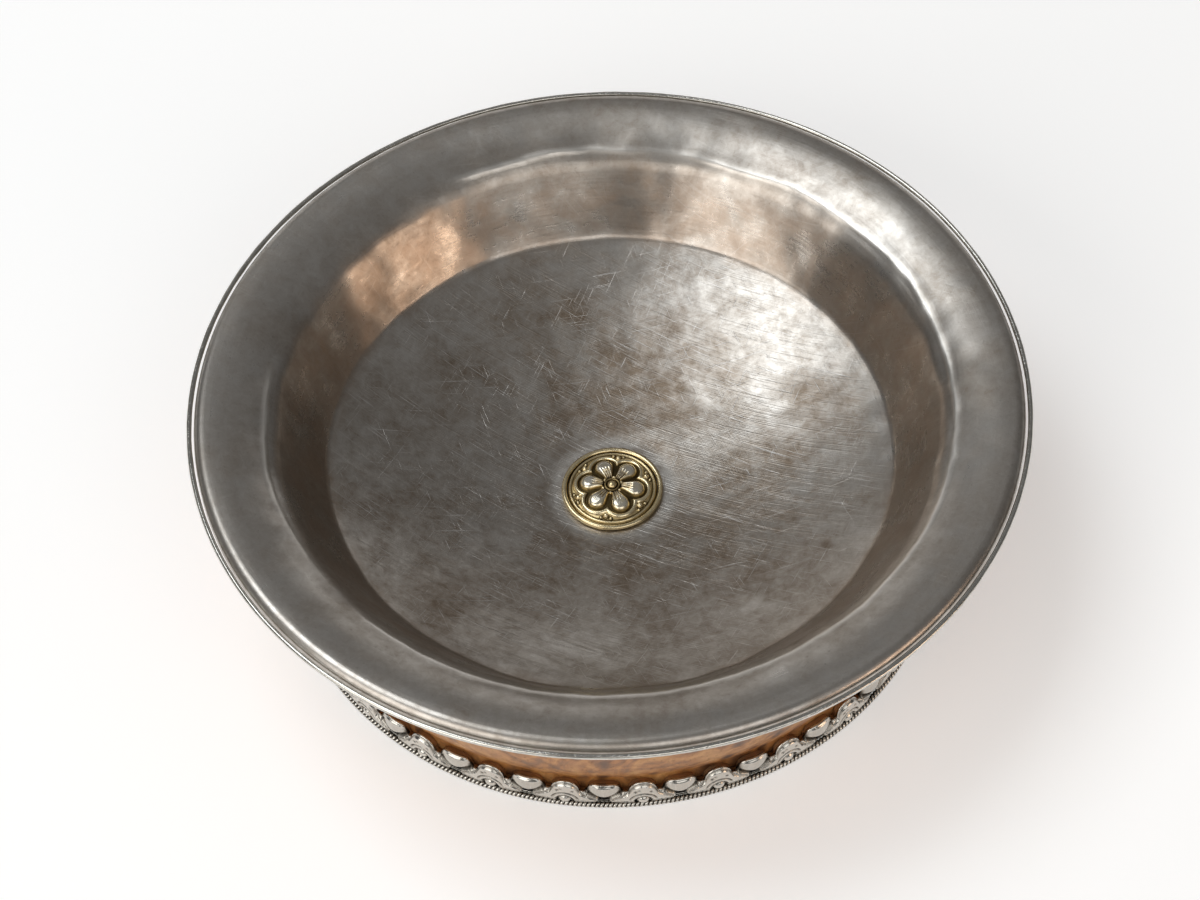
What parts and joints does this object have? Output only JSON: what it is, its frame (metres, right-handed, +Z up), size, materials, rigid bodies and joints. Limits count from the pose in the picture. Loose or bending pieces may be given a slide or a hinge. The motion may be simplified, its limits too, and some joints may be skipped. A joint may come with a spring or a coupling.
{
  "type": "offering bowl",
  "caption": "Low round offering bowl of turned burl wood with a dished silver liner and flared rim, a gilt flower medallion in the floor and a silver lotus-petal foot with a rope border",
  "frame": {"origin": "centre of the flat standing face, on the bowl's axis", "axes": "+Z up along the bowl's axis of turning; -Y faces the viewer of the picture; +X to their right"},
  "size_m": [0.13, 0.13, 0.0348],
  "materials": {
    "burl_wood": "turned, waxed and worn burl with dark figure",
    "liner_silver": "hammered silver, tarnished warm grey, with fine scratches",
    "trim_silver": "chased silver, bright on the high spots and blackened in the recesses",
    "gilt": "gilt, worn to pale silver on the high spots",
    "lac_resin": "dark lac resin, not seen"
  },
  "bodies": {
    "root": {"wood_bowl": "burl_wood", "liner_bedding": "lac_resin", "silver_liner": "liner_silver", "rim_wire": "trim_silver", "medallion_plate": "gilt", "medallion_bezel": "gilt", "medallion_rivet": "gilt", "lotus_collar": "trim_silver", "rope_wire": "trim_silver", "base_plate": "trim_silver", "foot_bedding": "lac_resin"}
  },
  "joints": []
}
